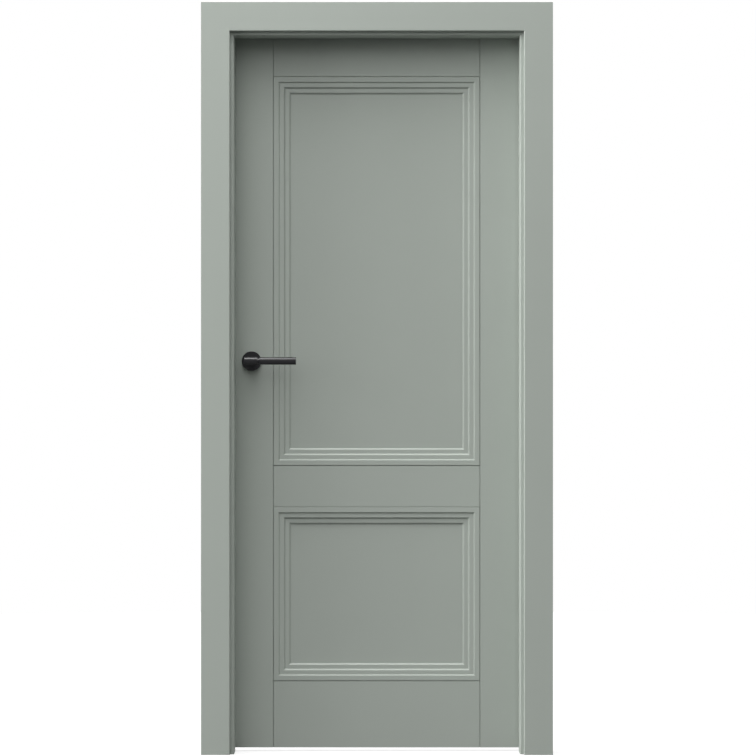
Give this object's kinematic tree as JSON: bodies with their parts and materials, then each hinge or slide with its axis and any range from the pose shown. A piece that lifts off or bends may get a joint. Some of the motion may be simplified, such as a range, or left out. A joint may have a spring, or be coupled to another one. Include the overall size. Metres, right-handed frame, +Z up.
{
  "type": "interior door with frame",
  "caption": "Sage green rebated interior door leaf with stepped moulded panels, black lever sets, mortise latch and an adjustable casing frame.",
  "frame": {"origin": "on the floor, midway between the jambs, in the plane of the leaf's near face", "axes": "+X towards the hinge side, +Y through the wall to the side the leaf opens to, +Z up"},
  "size_m": [0.986, 0.214, 2.109],
  "materials": {
    "sage_lacquer": "matt lacquer on board",
    "black_metal": "satin black",
    "satin_steel": "satin nickel",
    "zinc_steel": "zinc plated",
    "seal_rubber": "matt",
    "nylon": "moulded",
    "beech": "bare beech"
  },
  "bodies": {
    "frame": {"far_architrave_head": "sage_lacquer", "far_architrave_hinge_side": "sage_lacquer", "far_architrave_lock_side": "sage_lacquer", "hinge_frame_half_bottom": "satin_steel", "hinge_frame_half_middle": "satin_steel", "hinge_frame_half_top": "satin_steel", "jamb_hinge_side": "sage_lacquer", "jamb_lock_side": "sage_lacquer", "near_architrave_head": "sage_lacquer", "near_architrave_hinge_side": "sage_lacquer", "near_architrave_lock_side": "sage_lacquer", "seal_head": "seal_rubber", "seal_hinge_side": "seal_rubber", "seal_lock_side": "seal_rubber", "head_jamb": "sage_lacquer", "frame_corner_splines": "beech", "strike_plate": "satin_steel", "strike_screws": "satin_steel", "hinge_pins": "satin_steel"},
    "leaf": {"bottom_rail": "sage_lacquer", "follower_spring": "zinc_steel", "forend_screws": "satin_steel", "hinge_leaf_half_bottom": "satin_steel", "hinge_leaf_half_middle": "satin_steel", "hinge_leaf_half_top": "satin_steel", "hinge_stile": "sage_lacquer", "latch_spring": "zinc_steel", "lock_case": "zinc_steel", "lock_cover": "zinc_steel", "lock_forend": "satin_steel", "lock_rail": "sage_lacquer", "lock_stile": "sage_lacquer", "loose_tenons": "beech", "lower_moulding_bottom": "sage_lacquer", "lower_moulding_hinge_side": "sage_lacquer", "lower_moulding_lock_side": "sage_lacquer", "lower_moulding_top": "sage_lacquer", "lower_panel": "sage_lacquer", "neck_bushes": "nylon", "rose_base_far": "black_metal", "rose_base_near": "black_metal", "rose_bolts": "zinc_steel", "rose_cover_far": "black_metal", "rose_cover_near": "black_metal", "top_rail": "sage_lacquer", "upper_moulding_bottom": "sage_lacquer", "upper_moulding_hinge_side": "sage_lacquer", "upper_moulding_lock_side": "sage_lacquer", "upper_moulding_top": "sage_lacquer", "upper_panel": "sage_lacquer"},
    "handle": {"grip_far": "black_metal", "grip_near": "black_metal", "lever_far": "black_metal", "lever_near": "black_metal", "spindle": "zinc_steel", "grub_screws": "zinc_steel", "follower": "zinc_steel"},
    "latch": {"latch_bolt": "satin_steel"}
  },
  "joints": [
    {"name": "leaf_swing", "type": "hinge", "parent": "frame", "child": "leaf", "pos_m": [0.429, 0.033, 0], "axis": [0, 0, -1], "range_deg": [0, 170]},
    {"name": "lever_turn", "type": "hinge", "parent": "leaf", "child": "handle", "pos_m": [-0.355, 0, 1.104], "axis": [0, 1, 0], "range_deg": [0, 40], "stiffness_Nm_per_rad": 1.5, "springref_deg": -40.11, "deforming": ["follower_spring"]},
    {"name": "latch_slide", "type": "slide", "parent": "leaf", "child": "latch", "axis": [1, 0, 0], "range_m": [0, 0.012], "deforming": ["latch_spring"]}
  ],
  "couplings": [
    {"joint": "latch_slide", "follows": "lever_turn", "m_per_rad": 0.01718}
  ]
}
